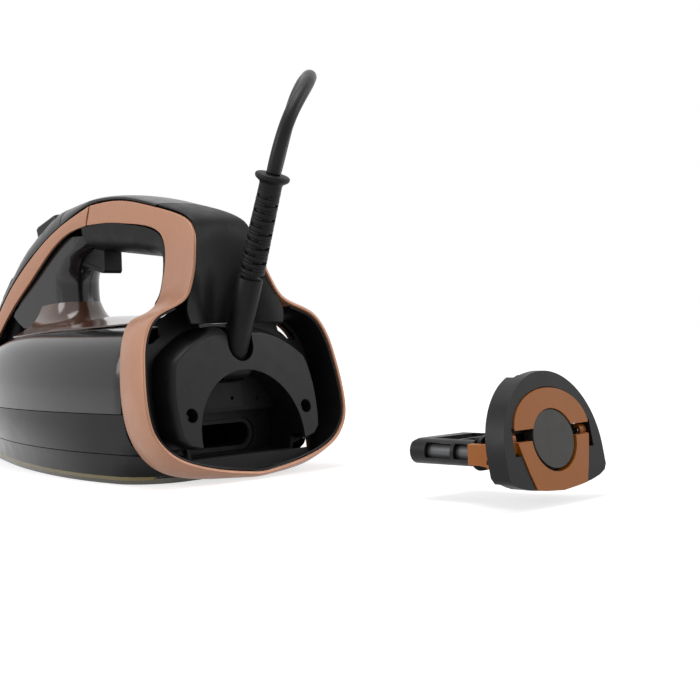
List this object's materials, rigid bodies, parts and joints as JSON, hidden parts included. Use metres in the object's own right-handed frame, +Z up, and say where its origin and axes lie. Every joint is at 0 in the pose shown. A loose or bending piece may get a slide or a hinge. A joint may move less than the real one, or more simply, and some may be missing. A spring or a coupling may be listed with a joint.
{
  "type": "corded steam iron",
  "caption": "Corded steam iron with a copper-coloured frame round its handle and heel, a swivelling cord relief and a pull-out scale collector drawn from its heel bay.",
  "frame": {"origin": "on the soleplate's ironing face, on the iron's middle plane, 150 mm ahead of where the leaning heel plane meets the ground", "axes": "+X towards the heel, +Y to the iron's right side, +Z up from the ironing face"},
  "size_m": [0.4843, 0.2602, 0.2292],
  "materials": {
    "sole_steel": "brushed ironing face",
    "cast_alloy": "as cast",
    "dark_metal": "dark oxidised",
    "bright_steel": "bright",
    "black_plastic": "fine moulded grain",
    "lining_plastic": "satin moulded",
    "heel_plastic": "satin moulded",
    "black_gloss": "polished",
    "smoked_tank": "smoked, polished",
    "smoked_cover": "polished",
    "brown_gloss": "polished, dark brown",
    "copper_lacquer": "satin metallic lacquer",
    "olive_trim": "satin",
    "grey_plastic": "moulded",
    "white_plastic": "moulded",
    "board_green": "solder resist",
    "hose_silicone": "silicone",
    "seal_rubber": "matt",
    "relief_rubber": "satin moulded",
    "cord_rubber": "smooth sheath",
    "plug_rubber": "satin moulded",
    "pin_metal": "nickel plated",
    "tie_fabric": "hook and loop strap",
    "orange_plastic": "satin moulded",
    "collector_black": "fine moulded grain",
    "badge_plastic": "satin, bare",
    "tray_grey": "satin moulded"
  },
  "bodies": {
    "iron": {"soleplate": "sole_steel", "heater_casting": "cast_alloy", "heating_element": "dark_metal", "steam_chamber_cover": "sole_steel", "collector_sleeve": "black_plastic", "sleeve_seal": "seal_rubber", "thermostat": "dark_metal", "thermal_fuse": "bright_steel", "chassis": "black_plastic", "chassis_posts": "cast_alloy", "skirt": "black_gloss", "skirt_trim": "olive_trim", "lower_housing": "black_gloss", "water_tank": "smoked_tank", "tank_saddle": "brown_gloss", "front_post": "smoked_tank", "pump": "grey_plastic", "water_hose": "hose_silicone", "nose_cover": "smoked_cover", "handle_top": "smoked_cover", "grip_lower": "black_plastic", "front_trim_left": "copper_lacquer", "front_trim_right": "copper_lacquer", "rear_frame": "copper_lacquer", "frame_lining": "lining_plastic", "rear_cover": "black_plastic", "rear_bulkhead": "black_plastic", "heel_panel": "heel_plastic", "heel_screws": "dark_metal", "bay_liner": "black_plastic", "control_board": "board_green", "terminal_block": "white_plastic", "trigger_spring": "bright_steel", "microswitch": "black_plastic", "steam_spring": "bright_steel", "spray_spring": "bright_steel", "filler_pin": "dark_metal", "filler_neck": "black_plastic", "spray_nozzle": "black_plastic", "relief_bracket": "black_plastic", "relief_pin": "bright_steel", "cord_lead": "cord_rubber", "cord_coil": "cord_rubber", "cord_tie": "tie_fabric", "plug": "plug_rubber", "plug_pins": "pin_metal"},
    "trigger": {"trigger": "black_plastic"},
    "steam_button": {"steam_button": "smoked_cover"},
    "spray_button": {"spray_button": "smoked_cover"},
    "filler_door": {"filler_door": "black_gloss"},
    "cord_relief": {"strain_relief": "relief_rubber"},
    "collector": {"collector_plate": "collector_black", "collector_inlay": "orange_plastic", "collector_badge": "badge_plastic", "lever_pins": "bright_steel", "collector_arms": "orange_plastic", "collector_frame": "collector_black", "scale_tray": "tray_grey", "collector_seal": "seal_rubber"},
    "pull_lever": {"pull_lever": "orange_plastic"}
  },
  "joints": [
    {"name": "collector_slide", "type": "slide", "parent": "iron", "child": "collector", "axis": [-1, 0, 0], "range_m": [0, 0.2]},
    {"name": "lever_pull", "type": "hinge", "parent": "collector", "child": "pull_lever", "pos_m": [0.33684, 0, 0.03], "axis": [0, -1, 0], "range_deg": [0, 40]},
    {"name": "trigger_squeeze", "type": "slide", "parent": "iron", "child": "trigger", "axis": [0, 0, 1], "range_m": [0, 0.003], "stiffness_N_per_m": 500, "springref_m": -0.003, "deforming": ["trigger_spring"]},
    {"name": "steam_press", "type": "slide", "parent": "iron", "child": "steam_button", "axis": [0.309, 0, -0.9511], "range_m": [0, 0.0025], "stiffness_N_per_m": 600, "springref_m": -0.003, "deforming": ["steam_spring"]},
    {"name": "spray_press", "type": "slide", "parent": "iron", "child": "spray_button", "axis": [0.309, 0, -0.9511], "range_m": [0, 0.0025], "stiffness_N_per_m": 600, "springref_m": -0.003, "deforming": ["spray_spring"]},
    {"name": "filler_hinge", "type": "hinge", "parent": "iron", "child": "filler_door", "pos_m": [-0.08073, 0, 0.12263], "axis": [0, 1, 0], "range_deg": [0, 95]},
    {"name": "relief_swing", "type": "hinge", "parent": "iron", "child": "cord_relief", "pos_m": [0.12496, 0, 0.061], "axis": [0, 1, 0], "range_deg": [-14, 0], "deforming": ["cord_lead"]}
  ]
}
